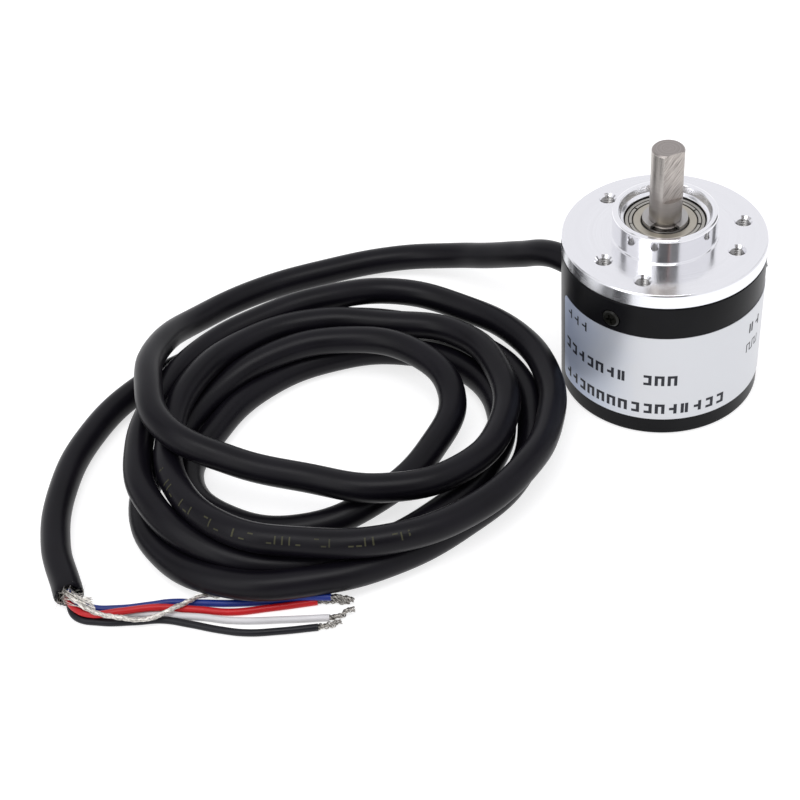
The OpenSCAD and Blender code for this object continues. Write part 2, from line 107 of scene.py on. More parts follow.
TURN_5 = [
    (-95.5, -13, 3.2), (-100.5, -27, 2.8), (-96, -41, 2.8), (-84, -50, 3.7), (-69, -51.5, 4.1),
    (-55, -48, 3.7), (-42.5, -40.5, 3.2), (-31.5, -30, 3.2), (-27, -16, 2.7), (-28, -2, 2.7),
    (-36.5, 10, 2.7), (-49, 17.5, 2.7),
]
TAIL = [
    (-64, 21, 2.7), (-78, 21, 2.7), (-91, 13, 2.7), (-103.5, 4.5, 2.7), (-112, -8, 2.7),
    (-116, -22, 2.7), (-116, -36, 2.7), (-112.5, -48.5, 2.7),
]
CABLE = LEAD + TURN_1 + TURN_2 + TURN_3 + TURN_4 + TURN_5 + TAIL

# Routes of the bare cores and the drain, from inside the cut end to their own ends
CORES = {
    "blue": [
        (-112.5, -48, 3.4), (-111.2, -49.8, 2.8), (-108.8, -51, 1.9), (-104, -51, 0.9),
        (-98.4, -50.7, 0.7), (-94.9, -50.5, 0.7), (-89.3, -51.3, 0.7), (-84.3, -52, 0.7),
        (-77.3, -52.5, 0.9), (-72, -52.9, 1.7), (-66.5, -53.7, 1.9),
    ],
    "red": [
        (-113, -48.2, 2.2), (-111.5, -50.8, 1.9), (-108.6, -52.6, 1.9), (-103.4, -52.6, 1.9),
        (-98, -52.4, 1.9), (-95.4, -52.3, 1.5), (-92, -52.7, 1.1), (-89.2, -53.1, 0.9),
        (-84.3, -54, 0.7), (-77.3, -53.9, 0.7), (-69, -53.4, 0.7),
    ],
    "white": [
        (-112, -48.3, 1.6), (-110.3, -50.6, 0.9), (-107, -52.3, 0.7), (-102, -52.4, 0.7),
        (-97.6, -53, 0.7), (-93.4, -53.8, 0.7), (-88.8, -54.7, 0.7), (-84.3, -55.9, 0.7),
        (-74, -56.9, 0.7), (-67, -57.3, 0.7),
    ],
    "black": [
        (-113, -48.3, 1), (-111.3, -52, 0.8), (-107, -53.6, 0.7), (-101, -54.2, 0.7),
        (-96, -54.4, 0.7), (-91.2, -55.9, 0.7), (-86, -57.8, 0.7), (-81.4, -59, 0.7),
        (-75.6, -59.3, 0.7), (-69, -59.2, 0.7),
    ],
}
DRAIN = [
    (-113.8, -46, 3.1), (-113, -48, 3.6), (-110.8, -50.8, 3.6), (-107.5, -53.3, 3.1),
    (-103.5, -54.5, 2.6), (-99, -55.3, 2.3), (-95.5, -54.4, 2.6), (-92, -52.4, 2.3),
    (-88.8, -50.4, 1.6), (-86.2, -49.9, 0.6),
]
# Centre lines of the bare twisted ends, from the end of each core's insulation
TIPS = {
    "blue": [(-66.5, -53.7, 1.9), (-64.6, -53.9, 1.8), (-62.6, -54.5, 1.4)],
    "red": [(-69, -53.4, 0.7), (-66, -53.5, 0.6), (-63.4, -54.2, 0.6)],
    "white": [(-67, -57.3, 0.7), (-65, -57, 0.8), (-63.6, -56.4, 1.2), (-62.5, -56.5, 1.3)],
    "black": [(-69, -59.2, 0.7), (-67, -59, 0.8), (-65, -58.3, 0.6)],
}


def polar(radius, az, z=0.0):
    """The point at a radius, an azimuth in degrees and a height."""
    turn = math.radians(az)
    return Vector((radius * math.cos(turn), radius * math.sin(turn), z))


# ---------------------------------------------------------------- camera, light and floor


def aim(obj, forward, up):
    """Turns a camera or light so that it looks along forward with up upwards."""
    back = -Vector(forward).normalized()
    right = Vector(up).cross(back).normalized()
    true_up = back.cross(right)
    rotation = Matrix((right, true_up, back)).transposed()
    obj.rotation_euler = rotation.to_euler()


def make_camera():
    data = bpy.data.cameras.new("camera")
    data.lens = 74.1
    data.sensor_width = 36
    data.clip_start = 0.01
    camera = bpy.data.objects.new("camera", data)
    camera.location = (-0.0515, -0.2439, 0.2177)
    aim(camera, (0, 0.74283, -0.66948), (0.09065, 0.66672, 0.73977))
    SHAPE.objects.link(camera)
    bpy.context.scene.camera = camera


def area_light(name, place, target, size, power):
    data = bpy.data.lights.new(name, "AREA")
    data.shape = "RECTANGLE"
    data.size, data.size_y = size
    data.energy = power
    light = bpy.data.objects.new(name, data)
    light.location = place
    aim(light, Vector(target) - Vector(place), (0, 0.3, 1))
    SHAPE.objects.link(light)


def dark_sector(world, azimuth, height, centre, half, edge, low, high, depth):
    """1 everywhere, but 1 - depth in a soft-edged patch of sky centred at an azimuth in degrees.

    height is the sine of the elevation, and low and high are elevations in degrees.
    """
    turn = math.radians(centre)
    offset = maths(world, "SUBTRACT", azimuth, turn)
    wrapped = maths(world, "ARCTAN2", maths(world, "SINE", offset), maths(world, "COSINE", offset))
    aside = maths(world, "ABSOLUTE", wrapped)
    across = step_down(world, aside, math.radians(half), math.radians(edge))
    middle = math.sin(math.radians((low + high) / 2))
    reach = math.sin(math.radians(high)) - middle
    above = maths(world, "ABSOLUTE", maths(world, "SUBTRACT", height, middle))
    upright = step_down(world, above, reach, 0.06)
    patch = maths(world, "MULTIPLY", across, upright)
    return maths(world, "SUBTRACT", 1.0, maths(world, "MULTIPLY", patch, depth))


def step_down(world, value, at, edge):
    """1 below at, 0 above it, with a smooth change over a width of edge."""
    node = world.node_tree.nodes.new("ShaderNodeMapRange")
    node.interpolation_type = "SMOOTHSTEP"
    node.inputs["From Min"].default_value = at - edge / 2
    node.inputs["From Max"].default_value = at + edge / 2
    node.inputs["To Min"].default_value = 1
    node.inputs["To Max"].default_value = 0
    world.node_tree.links.new(value, node.inputs["Value"])
    return node.outputs["Result"]


# Dark parts of the studio: azimuth, half width, edge softness, lowest and highest elevation, depth
DARK_SECTORS = [
    (-102, 13, 3, 8, 66, 0.90),
    (-78, 10, 4, 12, 62, 0.80),
    (160, 9, 6, 15, 60, 0.70),
    (34, 9, 6, 15, 60, 0.80),
]
WARM_STRIPE = (-90, 1.8, 2, 12, 62, 1.0)
WARM = (0.85, 0.42, 0.34)
WHITE_SKY = (0.93, 0.93, 0.965)


def make_light():
    world = bpy.data.worlds.new("white_studio")
    bpy.context.scene.world = world
    world.use_nodes = True
    nodes, links = world.node_tree.nodes, world.node_tree.links
    coords = nodes.new("ShaderNodeTexCoord")
    split = nodes.new("ShaderNodeSeparateXYZ")
    links.new(coords.outputs["Generated"], split.inputs[0])
    azimuth = maths(world, "ARCTAN2", split.outputs["Y"], split.outputs["X"])
    height = split.outputs["Z"]
    light = 1.0
    for sector in DARK_SECTORS:
        light = maths(world, "MULTIPLY", light, dark_sector(world, azimuth, height, *sector))
    stripe = dark_sector(world, azimuth, height, *WARM_STRIPE)
    sky = ramp(world, stripe, [(0.0, WARM), (1.0, WHITE_SKY)])
    links.new(sky, nodes["Background"].inputs["Color"])
    links.new(light, nodes["Background"].inputs["Strength"])
    area_light("overhead", (-0.06, -0.20, 0.70), (-0.06, 0, 0), (0.42, 0.30), 1.6)
    area_light("front_left", (-0.36, -0.30, 0.37), (0, 0, 0.03), (0.20, 0.45), 0.5)


def make_floor():
    mesh = bpy.data.meshes.new("floor")
    shape = bmesh.new()
    bmesh.ops.create_grid(shape, x_segments=4, y_segments=4, size=3)
    shape.to_mesh(mesh)
    shape.free()
    floor = bpy.data.objects.new("floor", mesh)
    SHAPE.objects.link(floor)
    paint, _, shader = new_material("floor_paper", (0.45, 0.45, 0.45), 0.0, 0.9)
    shader.inputs["Specular IOR Level"].default_value = 0.0
    shader.inputs["Emission Color"].default_value = (1, 1, 1, 1)
    shader.inputs["Emission Strength"].default_value = 0.72
    mesh.materials.append(paint)


# ---------------------------------------------------------------- materials


def new_material(name, colour, metallic, roughness):
    """A material, its node links and its shader."""
    paint = bpy.data.materials.new(name)
    paint.use_nodes = True
    shader = paint.node_tree.nodes["Principled BSDF"]
    shader.inputs["Base Color"].default_value = (*colour, 1)
    shader.inputs["Metallic"].default_value = metallic
    shader.inputs["Roughness"].default_value = roughness
    return paint, paint.node_tree.links, shader


def maths(paint, operation, *values):
    """A Math node; each value is a number or another node's output."""
    node = paint.node_tree.nodes.new("ShaderNodeMath")
    node.operation = operation
    for k, value in enumerate(values):
        if isinstance(value, (int, float)):
            node.inputs[k].default_value = value
        else:
            paint.node_tree.links.new(value, node.inputs[k])
    return node.outputs[0]


def place(paint, scale=(1, 1, 1)):
    """Object coordinates in millimetres, stretched by scale."""
    nodes, links = paint.node_tree.nodes, paint.node_tree.links
    coords = nodes.new("ShaderNodeTexCoord")
    mapping = nodes.new("ShaderNodeMapping")
    mapping.inputs["Scale"].default_value = [s / MM for s in scale]
    links.new(coords.outputs["Object"], mapping.inputs["Vector"])
    return mapping.outputs["Vector"]


def noise(paint, vector, scale, detail=3.0, rough=0.5):
    node = paint.node_tree.nodes.new("ShaderNodeTexNoise")
    node.inputs["Scale"].default_value = scale
    node.inputs["Detail"].default_value = detail
    node.inputs["Roughness"].default_value = rough
    paint.node_tree.links.new(vector, node.inputs["Vector"])
    return node.outputs["Fac"]


def ramp(paint, value, stops):
    """The colour of value on a ramp of (position, colour) stops."""
    node = paint.node_tree.nodes.new("ShaderNodeValToRGB")
    elements = node.color_ramp.elements
    while len(elements) < len(stops):
        elements.new(0.5)
    for element, (at, colour) in zip(elements, stops):
        element.position = at
        element.color = (*colour, 1)
    paint.node_tree.links.new(value, node.inputs["Fac"])
    return node.outputs["Color"]


def spread(paint, value, low, high):
    """Maps a 0 to 1 value on to low to high."""
    node = paint.node_tree.nodes.new("ShaderNodeMapRange")
    node.inputs["To Min"].default_value = low
    node.inputs["To Max"].default_value = high
    paint.node_tree.links.new(value, node.inputs["Value"])
    return node.outputs["Result"]


def bump(paint, height, depth_mm, strength=1.0):
    nodes, links = paint.node_tree.nodes, paint.node_tree.links
    node = nodes.new("ShaderNodeBump")
    node.inputs["Strength"].default_value = strength
    node.inputs["Distance"].default_value = depth_mm * MM
    links.new(height, node.inputs["Height"])
    links.new(node.outputs["Normal"], nodes["Principled BSDF"].inputs["Normal"])


def radius_of(paint, vector):
    """Distance from the Z axis and height, in the units of vector."""
    split = paint.node_tree.nodes.new("ShaderNodeSeparateXYZ")
    paint.node_tree.links.new(vector, split.inputs[0])
    square = maths(paint, "ADD", maths(paint, "POWER", split.outputs["X"], 2.0),
                   maths(paint, "POWER", split.outputs["Y"], 2.0))
    return maths(paint, "SQRT", square), split.outputs["Z"]


def ring_noise(paint, scale):
    """Noise that depends on radius and height only: concentric turning marks."""
    nodes, links = paint.node_tree.nodes, paint.node_tree.links
    radius, height = radius_of(paint, place(paint))
    joined = nodes.new("ShaderNodeCombineXYZ")
    links.new(radius, joined.inputs["X"])
    links.new(height, joined.inputs["Y"])
    return noise(paint, joined.outputs[0], scale, 4.0, 0.6)


def turned_metal(name, colour, low, high, depth, scale=9.0, tint=0.05):
    """Lathe-turned metal with concentric marks; low and high are the roughness range."""
    paint, links, shader = new_material(name, colour, 1.0, low)
    marks = ring_noise(paint, scale)
    patches = noise(paint, place(paint), 0.35, 2.0)
    uneven = maths(paint, "MULTIPLY", marks, patches)
    links.new(spread(paint, uneven, low, high * 2), shader.inputs["Roughness"])
    darker = tuple(c * (1 - tint) for c in colour)
    links.new(ramp(paint, marks, [(0.35, darker), (0.65, colour)]), shader.inputs["Base Color"])
    bump(paint, marks, depth)
    return paint


def flat_ground_metal(name, colour):
    """The ground flat on the shaft: close slanting scratches, 2.4 mm long and 0.13 mm apart."""
    paint, links, shader = new_material(name, colour, 1.0, 0.34)
    coords = paint.node_tree.nodes.new("ShaderNodeTexCoord")
    mapping = paint.node_tree.nodes.new("ShaderNodeMapping")
    mapping.vector_type = "TEXTURE"
    normal = polar(1, SHAFT_FLAT_AZ)
    rightward = Vector((-normal.y, normal.x, 0))
    along = (rightward * 0.62 + Vector((0, 0, 0.78))).normalized()
    across = normal.cross(along)
    lie = Matrix((along, across, normal)).transposed()
    mapping.inputs["Rotation"].default_value = lie.to_euler()
    mapping.inputs["Scale"].default_value = (2.4 * MM, 0.13 * MM, 3 * MM)
    links.new(coords.outputs["Object"], mapping.inputs["Vector"])
    lines = noise(paint, mapping.outputs["Vector"], 1.0, 4.0, 0.6)
    dark = tuple(c * 0.55 for c in colour)
    light = tuple(min(1.0, c * 1.35) for c in colour)
    shade = ramp(paint, lines, [(0.36, dark), (0.5, colour), (0.64, light)])
    links.new(shade, shader.inputs["Base Color"])
    bump(paint, lines, 0.02)
    return paint


def plastic(name, colour, roughness, speck=0.15, depth=0.006, grain=6.0, specular=0.5):
    """Moulded or extruded plastic with a fine grain and faint patches."""
    paint, links, shader = new_material(name, colour, 0.0, roughness)
    shader.inputs["Specular IOR Level"].default_value = specular
    fine = noise(paint, place(paint), grain, 4.0)
    patches = noise(paint, place(paint), 0.12, 3.0)
    low = tuple(c * (1 - speck) for c in colour)
    high = tuple(min(1.0, c * (1 + speck)) for c in colour)
    links.new(ramp(paint, patches, [(0.35, low), (0.65, high)]), shader.inputs["Base Color"])
    links.new(spread(paint, patches, roughness * 0.85, roughness * 1.15), shader.inputs["Roughness"])
    bump(paint, fine, depth)
    return paint


def foil_material():
    """Brushed silver foil under a clear satin film; towards its left end the colour turns cooler and darker,
    a painted reflection.
    """
    paint, links, shader = new_material("label_foil", (0.66, 0.67, 0.69), 0.5, 0.34)
    grain = noise(paint, place(paint, (0.6, 0.6, 9.0)), 2.5, 4.0)
    split = paint.node_tree.nodes.new("ShaderNodeSeparateXYZ")
    links.new(place(paint), split.inputs[0])
    waver = maths(paint, "MULTIPLY", noise(paint, place(paint), 0.2), 4.0)
    drift = maths(paint, "ADD", split.outputs["X"], waver)
    across = maths(paint, "DIVIDE", maths(paint, "ADD", drift, 18.0), 14.0)
    # The cooler, darker colours towards the left end are a painted reflection of dark and blue surroundings.
    painted_reflection_cool, painted_reflection_paler, plain = (0.43, 0.50, 0.67), (0.55, 0.59, 0.67), (0.60, 0.61, 0.635)
    tint = ramp(paint, across, [(0.0, painted_reflection_cool), (0.45, painted_reflection_paler), (0.9, plain)])
    links.new(tint, shader.inputs["Base Color"])
    links.new(spread(paint, grain, 0.34, 0.46), shader.inputs["Roughness"])
    bump(paint, grain, 0.0015)
    return paint


def strand_material(name, colour):
    """Fine metal strands with duller, darker patches."""
    paint, links, shader = new_material(name, colour, 1.0, 0.35)
    dull = noise(paint, place(paint), 2.5, 3.0)
    dark = tuple(c * 0.6 for c in colour)
    links.new(ramp(paint, dull, [(0.35, dark), (0.6, colour)]), shader.inputs["Base Color"])
    links.new(spread(paint, dull, 0.28, 0.5), shader.inputs["Roughness"])
    return paint


def glassy(name, colour):
    """Clear glass or plastic with faint smears."""
    paint, links, shader = new_material(name, colour, 0.0, 0.06)
    shader.inputs["Transmission Weight"].default_value = 0.9
    shader.inputs["IOR"].default_value = 1.5
    links.new(spread(paint, noise(paint, place(paint), 1.5), 0.03, 0.10), shader.inputs["Roughness"])
    return paint


def board_material():
    """Solder mask with copper tracks showing through as lighter lines."""
    paint, links, shader = new_material("board_mask", (0.02, 0.16, 0.07), 0.0, 0.35)
    brick = paint.node_tree.nodes.new("ShaderNodeTexBrick")
    brick.inputs["Scale"].default_value = 0.5
    brick.inputs["Mortar Size"].default_value = 0.05
    brick.inputs["Color1"].default_value = (0.02, 0.16, 0.07, 1)
    brick.inputs["Color2"].default_value = (0.025, 0.18, 0.08, 1)
    brick.inputs["Mortar"].default_value = (0.06, 0.30, 0.14, 1)
    links.new(place(paint), brick.inputs["Vector"])
    links.new(brick.outputs["Color"], shader.inputs["Base Color"])
    bump(paint, brick.outputs["Fac"], 0.02, 0.5)
    return paint


FLANGE = turned_metal("flange_polish", (0.88, 0.88, 0.90), 0.11, 0.19, 0.0005)
FLANGE_SIDE = turned_metal("flange_side", (0.84, 0.85, 0.89), 0.16, 0.24, 0.001)
BOSS = turned_metal("boss_polish", (0.90, 0.90, 0.92), 0.05, 0.09, 0.0004)
# Dark grey for the threads of the tapped holes: painted shade inside the holes, on the same aluminium as the
# flange.
THREAD_PAINTED_SHADE = turned_metal("thread_painted_shade", (0.36, 0.355, 0.35), 0.2, 0.3, 0.002)
CASE = plastic("case_black", (0.004, 0.004, 0.005), 0.32, 0.2, 0.002, 4.0, 0.10)
SCREW = plastic("screw_black", (0.005, 0.005, 0.004), 0.24, 0.3, 0.004, 5.0, 0.22)
FOIL = foil_material()
INK = plastic("label_ink", (0.012, 0.013, 0.02), 0.5, 0.1, 0.001, 6.0, 0.3)
SHAFT_ROUND = turned_metal("shaft_round", (0.47, 0.44, 0.415), 0.24, 0.32, 0.0015, 3.0, 0.10)
SHAFT_FLAT = flat_ground_metal("shaft_flat", (0.43, 0.395, 0.37))
SHAFT_END = turned_metal("shaft_end", (0.40, 0.365, 0.345), 0.22, 0.32, 0.004, 4.0, 0.3)
RING_STEEL = turned_metal("bearing_ring", (0.42, 0.405, 0.37), 0.18, 0.28, 0.002)
DARK_STEEL = turned_metal("bearing_dark", (0.10, 0.095, 0.09), 0.14, 0.24, 0.002)
# Near-black paint for the bearing seat's bore and the shield's groove: painted shade in those gaps.
PAINTED_SHADE_GAP = plastic("gap_painted_shade", (0.012, 0.011, 0.010), 0.5, 0.2, 0.002)
SHIELD = turned_metal("bearing_shield", (0.48, 0.45, 0.385), 0.28, 0.40, 0.002, 3.0)
CLIP = turned_metal("clip_steel", (0.47, 0.46, 0.45), 0.26, 0.38, 0.004, 2.0)
BALL = turned_metal("ball_steel", (0.80, 0.80, 0.82), 0.05, 0.08, 0.0002)
INNER_ALUMINIUM = turned_metal("inner_aluminium", (0.78, 0.79, 0.80), 0.2, 0.32, 0.003)
BRASS = turned_metal("brass", (0.72, 0.55, 0.25), 0.18, 0.28, 0.003)
DISC = turned_metal("disc_steel", (0.62, 0.64, 0.66), 0.15, 0.25, 0.001)
JACKET = plastic("cable_jacket", (0.0035, 0.003, 0.005), 0.36, 0.2, 0.002, 3.0, 0.16)
RUBBER = plastic("grommet_rubber", (0.010, 0.010, 0.011), 0.6, 0.2, 0.006, 5.0, 0.4)
CORE_PAINT = {
    "red": plastic("core_red", (0.44, 0.004, 0.007), 0.38, 0.12, 0.002, 4.0, 0.4),
    "black": plastic("core_black", (0.006, 0.006, 0.009), 0.35, 0.2, 0.002, 4.0, 0.25),
    "white": plastic("core_white", (0.60, 0.59, 0.60), 0.4, 0.04, 0.002, 4.0, 0.4),
    "blue": plastic("core_blue", (0.004, 0.020, 0.18), 0.38, 0.15, 0.002, 4.0, 0.4),
}
TINNED = strand_material("tinned_copper", (0.42, 0.40, 0.37))
BRAID = strand_material("braid_copper", (0.74, 0.71, 0.66))
PRINT = plastic("jacket_print", (0.036, 0.035, 0.018), 0.5, 0.3, 0.001, 5.0, 0.2)
NYLON = plastic("tie_nylon", (0.76, 0.75, 0.70), 0.45, 0.05, 0.003)
CAGE = plastic("cage_nylon", (0.66, 0.58, 0.40), 0.5, 0.08, 0.004)
INNER_BLACK = plastic("inner_black", (0.02, 0.02, 0.022), 0.45, 0.2, 0.006)
CHIP = plastic("sensor_chip", (0.03, 0.035, 0.07), 0.15, 0.2, 0.001)
HEADER = plastic("header_plastic", (0.70, 0.64, 0.50), 0.5, 0.08, 0.006)
BOARD = board_material()
GLASS = glassy("reticle_glass", (0.80, 0.88, 0.88))
LED = glassy("led_clear", (0.85, 0.88, 0.95))


# ---------------------------------------------------------------- mesh tools


def soften(profile, radius, steps=5):
    """Rounds a profile's corners, with a holding point on each side of every corner."""
    rounded = []
    count = len(profile)
    for k, point in enumerate(profile):
        here = Vector(point)
        if here.x < 1e-6:
            rounded.append(tuple(here))
            continue
        before = Vector(profile[(k - 1) % count]) - here
        after = Vector(profile[(k + 1) % count]) - here
        reach = min(radius, before.length * 0.35, after.length * 0.35)
        start = here + before.normalized() * reach
        end = here + after.normalized() * reach
        hold = reach * 0.25
        rounded.append(tuple(start + before.normalized() * hold))
        for step in range(steps + 1):
            t = step / steps
            rounded.append(tuple((1 - t) ** 2 * start + 2 * t * (1 - t) * here + t * t * end))
        rounded.append(tuple(end + after.normalized() * hold))
    return rounded


def finish_mesh(name, shape, materials, smooth_deg=30):
    """Turns a bmesh into a piece, with edges sharper than smooth_deg kept sharp."""
    bmesh.ops.remove_doubles(shape, verts=shape.verts, dist=1e-8)
    bmesh.ops.recalc_face_normals(shape, faces=shape.faces)
    mesh = bpy.data.meshes.new(name)
    shape.to_mesh(mesh)
    shape.free()
    piece = bpy.data.objects.new(name, mesh)
    SHAPE.objects.link(piece)
    for paint in materials:
        mesh.materials.append(paint)
    smooth(mesh, smooth_deg)
    return piece


def smooth(mesh, degrees):
    mesh.polygons.foreach_set("use_smooth", [True] * len(mesh.polygons))
    mesh.set_sharp_from_angle(angle=math.radians(degrees))


def lathe(name, profile, materials, segments=192, axis_az=None, axis_z=0.0, smooth_deg=30):
    """Turns a closed profile of (radius, height) in mm about Z.

    Where axis_az is given, the axis points out of the case there, at the height axis_z.
    """
    shape = bmesh.new()
    rings = []
    for radius, height in profile:
        if radius < 1e-6:
            rings.append([shape.verts.new((0, 0, height * MM))])
            continue
        rings.append([
            shape.verts.new((radius * MM * math.cos(2 * math.pi * k / segments),
                             radius * MM * math.sin(2 * math.pi * k / segments), height * MM))
            for k in range(segments)
        ])
    for a, b in zip(rings, rings[1:] + rings[:1]):
        for k in range(segments):
            corners = [a[k % len(a)], a[(k + 1) % len(a)], b[(k + 1) % len(b)], b[k % len(b)]]
            unique = list(dict.fromkeys(corners))
            if len(unique) > 2:
                shape.faces.new(unique)
    if axis_az is not None:
        bmesh.ops.transform(shape, verts=shape.verts, matrix=out_of_case(axis_az, axis_z))
    return finish_mesh(name, shape, materials, smooth_deg)


def cut(piece, cutters, smooth_deg=30):
    """Cuts the cutters out of the piece, then deletes them."""
    for cutter in cutters:
        modifier = piece.modifiers.new("cut", "BOOLEAN")
        modifier.operation = "DIFFERENCE"
        modifier.solver = "EXACT"
        modifier.object = cutter
    bpy.context.view_layer.update()
    solid = bpy.data.meshes.new_from_object(piece.evaluated_get(bpy.context.evaluated_depsgraph_get()))
    piece.modifiers.clear()
    old = piece.data
    piece.data = solid
    bpy.data.meshes.remove(old)
    for cutter in cutters:
        bpy.data.objects.remove(cutter)
    smooth(piece.data, smooth_deg)


def box_cutter(name, low, high, matrix, materials):
    """A box between two corners in mm, moved by matrix, for cut()."""
    shape = bmesh.new()
    bmesh.ops.create_cube(shape, size=1)
    size = [b - a for a, b in zip(low, high)]
    centre = [(a + b) / 2 for a, b in zip(low, high)]
    bmesh.ops.scale(shape, verts=shape.verts, vec=[s * MM for s in size])
    bmesh.ops.translate(shape, verts=shape.verts, vec=[c * MM for c in centre])
    bmesh.ops.transform(shape, verts=shape.verts, matrix=matrix)
    return finish_mesh(name, shape, materials)


def out_of_case(az, z):
    """Matrix whose Z axis points out of the case at az and height z."""
    return (Matrix.Translation((0, 0, z * MM)) @ Matrix.Rotation(math.radians(az), 4, "Z")
            @ Matrix.Rotation(math.radians(90), 4, "Y"))


def curve_points(points, per_span=8):
    """The points of a smooth curve through the given ones."""
    path = [Vector(p) for p in points]
    slopes = []
    for k, point in enumerate(path):
        before = point - path[k - 1] if k else path[1] - point
        after = path[k + 1] - point if k + 1 < len(path) else point - path[k - 1]
        slopes.append((before.normalized() + after.normalized()).normalized())
    fine = []
    for a, b, slope_a, slope_b in zip(path, path[1:], slopes, slopes[1:]):
        reach = (b - a).length * 0.39
        for step in range(per_span):
            t = step / per_span
            fine.append((1 - t) ** 3 * a + 3 * t * (1 - t) ** 2 * (a + slope_a * reach)
                        + 3 * t * t * (1 - t) * (b - slope_b * reach) + t ** 3 * b)
    fine.append(path[-1])
    return fine


def lengths_along(path):
    """Distance along a path to each of its points."""
    lengths = [0.0]
    for a, b in zip(path, path[1:]):
        lengths.append(lengths[-1] + (b - a).length)
    return lengths


def frames_along(path):
    """Each point of a path, with two directions across it that don't twist."""
    side = None
    for k, point in enumerate(path):
        ahead = (path[min(k + 1, len(path) - 1)] - path[max(k - 1, 0)]).normalized()
        if side is None:
            side = ahead.orthogonal().normalized()
        side = (side - ahead * side.dot(ahead)).normalized()
        yield point, side, ahead.cross(side)


def outward(side, up, turn):
    """The direction at an angle in radians from side towards up."""
    return math.cos(turn) * side + math.sin(turn) * up


def join_rings(shape, rings):
    """Faces between each closed ring of vertices and the next."""
    for a, b in zip(rings, rings[1:]):
        for j in range(len(a)):
            after = (j + 1) % len(a)
            shape.faces.new((a[j], a[after], b[after], b[j]))


def cap_rings(shape, rings):
    shape.faces.new(rings[0][::-1])
    shape.faces.new(rings[-1])


def add_tube(shape, path, radius, sides=8, taper=1.0):
    """Sweeps a round section along a path of Vectors in mm; taper is its last radius over its first."""
    rings = []
    for k, (point, side, up) in enumerate(frames_along(path)):
        size = radius * (1 + (taper - 1) * k / (len(path) - 1))
        rings.append([
            shape.verts.new((point + size * outward(side, up, 2 * math.pi * j / sides)) * MM)
            for j in range(sides)
        ])
    join_rings(shape, rings)
    cap_rings(shape, rings)


def twisted(path, strands, lay_r, pitch, wander, rng, first=0.0):
    """Paths of the strands of a twisted bundle that follows path."""
    lengths = lengths_along(path)
    bundle = []
    for s in range(strands):
        phase = 2 * math.pi * s / strands + rng.uniform(-0.25, 0.25)
        radius = lay_r * rng.uniform(0.75, 1.15) if s else lay_r * 0.1
        wave = rng.uniform(0, 6)
        strand = []
        for length, (point, side, up) in zip(lengths, frames_along(path)):
            turn = phase + 2 * math.pi * (length + first) / pitch
            out = radius * (1 + wander * math.sin(length * 1.7 + wave))
            strand.append(point + out * outward(side, up, turn))
        bundle.append(strand)
    return bundle


def cord_curve(name, points, radius, paint):
    """A smooth open curve through the route's points, swept round."""
    data = bpy.data.curves.new(name, "CURVE")
    data.dimensions = "3D"
    data.resolution_u = 10
    data.bevel_depth = radius * MM
    data.bevel_resolution = 7
    data.use_fill_caps = True
    spline = data.splines.new("BEZIER")
    spline.bezier_points.add(len(points) - 1)
    for knot, point in zip(spline.bezier_points, points):
        knot.co = Vector(point) * MM
        knot.handle_left_type = "AUTO"
        knot.handle_right_type = "AUTO"
    data.materials.append(paint)
    piece = bpy.data.objects.new(name, data)
    SHAPE.objects.link(piece)
    return piece


# ---------------------------------------------------------------- case, screws and label


def make_case():
    wall = CASE_R - CASE_WALL
    outline = [
        (0, 0), (CASE_R - 0.5, 0), (CASE_R, 0.5), (CASE_R, CASE_TOP - 0.2), (CASE_R - 0.2, CASE_TOP),
        (wall, CASE_TOP), (wall, CASE_WALL), (0, CASE_WALL),
    ]
    case = lathe("case_shell", soften(outline, 0.25), [CASE], 256)
    cutters = []
    for az in RIM_SCREW_AZ:
        hole = [(0, 10), (1.1, 10), (1.1, 18.4), (1.9, 18.4), (1.9, 21), (0, 21)]
        cutters.append(lathe("screw_pocket", hole, [CASE], 48, az, RIM_SCREW_Z))
    cable_hole = [(0, 10), (2.9, 10), (2.9, 21), (0, 21)]
    cutters.append(lathe("cable_hole", cable_hole, [CASE], 64, CABLE_AZ, CABLE_Z))
    cut(case, cutters)
    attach(case, "root")
    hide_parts("housing_cup")


def make_rim_screws():
    outline = [(0, 14), (0.95, 14), (0.95, 18.4), (1.7, 18.4), (1.7, 19.0), (1.35, 19.22), (0, 19.3)]
    for number, az in enumerate(RIM_SCREW_AZ, 1):
        screw = lathe(f"case_screw_{number}", soften(outline, 0.08), [SCREW], 64, az, RIM_SCREW_Z)
        cutters = []
        for turn in (20, 110):
            tilt = out_of_case(az, RIM_SCREW_Z) @ Matrix.Rotation(math.radians(turn), 4, "Z")
            cutters.append(box_cutter("slot", (-0.95, -0.2, 18.75), (0.95, 0.2, 20), tilt, [SCREW]))
        dip = [(0, 18.6), (0.25, 18.7), (0.55, 19.6), (0, 19.6)]
        cutters.append(lathe("dip", dip, [SCREW], 24, az, RIM_SCREW_Z))
        cut(screw, cutters)
        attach(screw, "root")
        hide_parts("case_screws")


LABEL_Z = (4.0, 23.7)
LABEL_AZ = (-171.0, 98.0)
LABEL_R = CASE_R + 0.1
INK_R = LABEL_R + 0.008
MARK_PITCH = 7.1
# Rows of tally marks on the label: first and last azimuth, height, height of a mark, width of its strokes
MARK_ROWS = [
    (-165, -143, 21.2, 2.1, 0.42),
    (-167, -117, 13.6, 2.4, 0.6),
    (-110, -87, 13.6, 2.4, 0.6),
    (-166, -63, 6.6, 2.4, 0.62),
    (-43, -28, 19.3, 2.2, 0.5),
]


